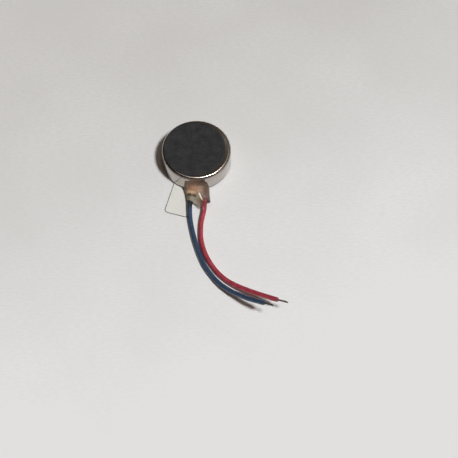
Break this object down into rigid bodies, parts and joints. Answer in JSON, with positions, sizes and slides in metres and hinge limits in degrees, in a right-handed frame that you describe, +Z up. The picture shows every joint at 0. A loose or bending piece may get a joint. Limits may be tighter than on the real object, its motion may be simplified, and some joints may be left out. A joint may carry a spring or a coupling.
{
  "type": "vibration coin motor",
  "caption": "Flat round brushed motor with an off-centre rotor inside a metal cup, a foam pad, an adhesive base with liner and stripped leads; it shakes what it is stuck to.",
  "frame": {"origin": "on the shaft axis, in the plane that the motor rests on (the liner's lower face)", "axes": "+Z up along the shaft axis, through the foam pad; the terminal and leads point towards -Y; +X is to the right seen from the leads"},
  "size_m": [0.0179, 0.0307, 0.0043],
  "materials": {
    "nickel_case": "bright nickel plate on drawn steel",
    "plate_steel": "bright nickel-plated sheet",
    "shaft_steel": "ground steel",
    "magnet": "dark coated sintered magnet",
    "flex_film": "amber polyimide film",
    "gold_pads": "gold-plated copper",
    "brush_metal": "springy precious-metal alloy",
    "solder": "bright solder",
    "washer_film": "low-friction film",
    "black_foam": "matt fine-celled foam",
    "adhesive": "clear pressure-sensitive adhesive",
    "liner_film": "clear polyester film",
    "amber_film": "translucent amber polyimide tape",
    "red_insulation": "soft vinyl",
    "blue_insulation": "soft vinyl",
    "tinned_copper": "tinned strands",
    "board_green": "solder-resist coated laminate",
    "bearing_bronze": "oil-filled sintered bronze",
    "coil_wire": "enamelled copper wire",
    "tungsten": "sintered tungsten alloy",
    "black_resin": "moulded resin"
  },
  "bodies": {
    "stator": {"case_cup": "nickel_case", "base_plate": "plate_steel", "shaft": "shaft_steel", "ring_magnet": "magnet", "flex_circuit": "flex_film", "brush_pads": "gold_pads", "terminal_pads": "gold_pads", "brush_left": "brush_metal", "brush_right": "brush_metal", "brush_solder": "solder", "lower_washer": "washer_film", "upper_washer": "washer_film", "foam_pad": "black_foam", "adhesive_disc": "adhesive", "release_liner": "liner_film", "terminal_tape": "amber_film", "terminal_solder": "solder", "red_lead": "red_insulation", "blue_lead": "blue_insulation", "red_conductor": "tinned_copper", "blue_conductor": "tinned_copper"},
    "rotor": {"rotor_board": "board_green", "commutator": "gold_pads", "bearing_sleeve": "bearing_bronze", "left_coil": "coil_wire", "right_coil": "coil_wire", "coil_joints": "solder", "counterweight": "tungsten", "rotor_resin": "black_resin"}
  },
  "joints": [
    {"name": "rotor_spin", "type": "hinge", "parent": "stator", "child": "rotor", "pos_m": [0, 0, 0.002], "axis": [0, 0, 1], "continuous": true}
  ]
}
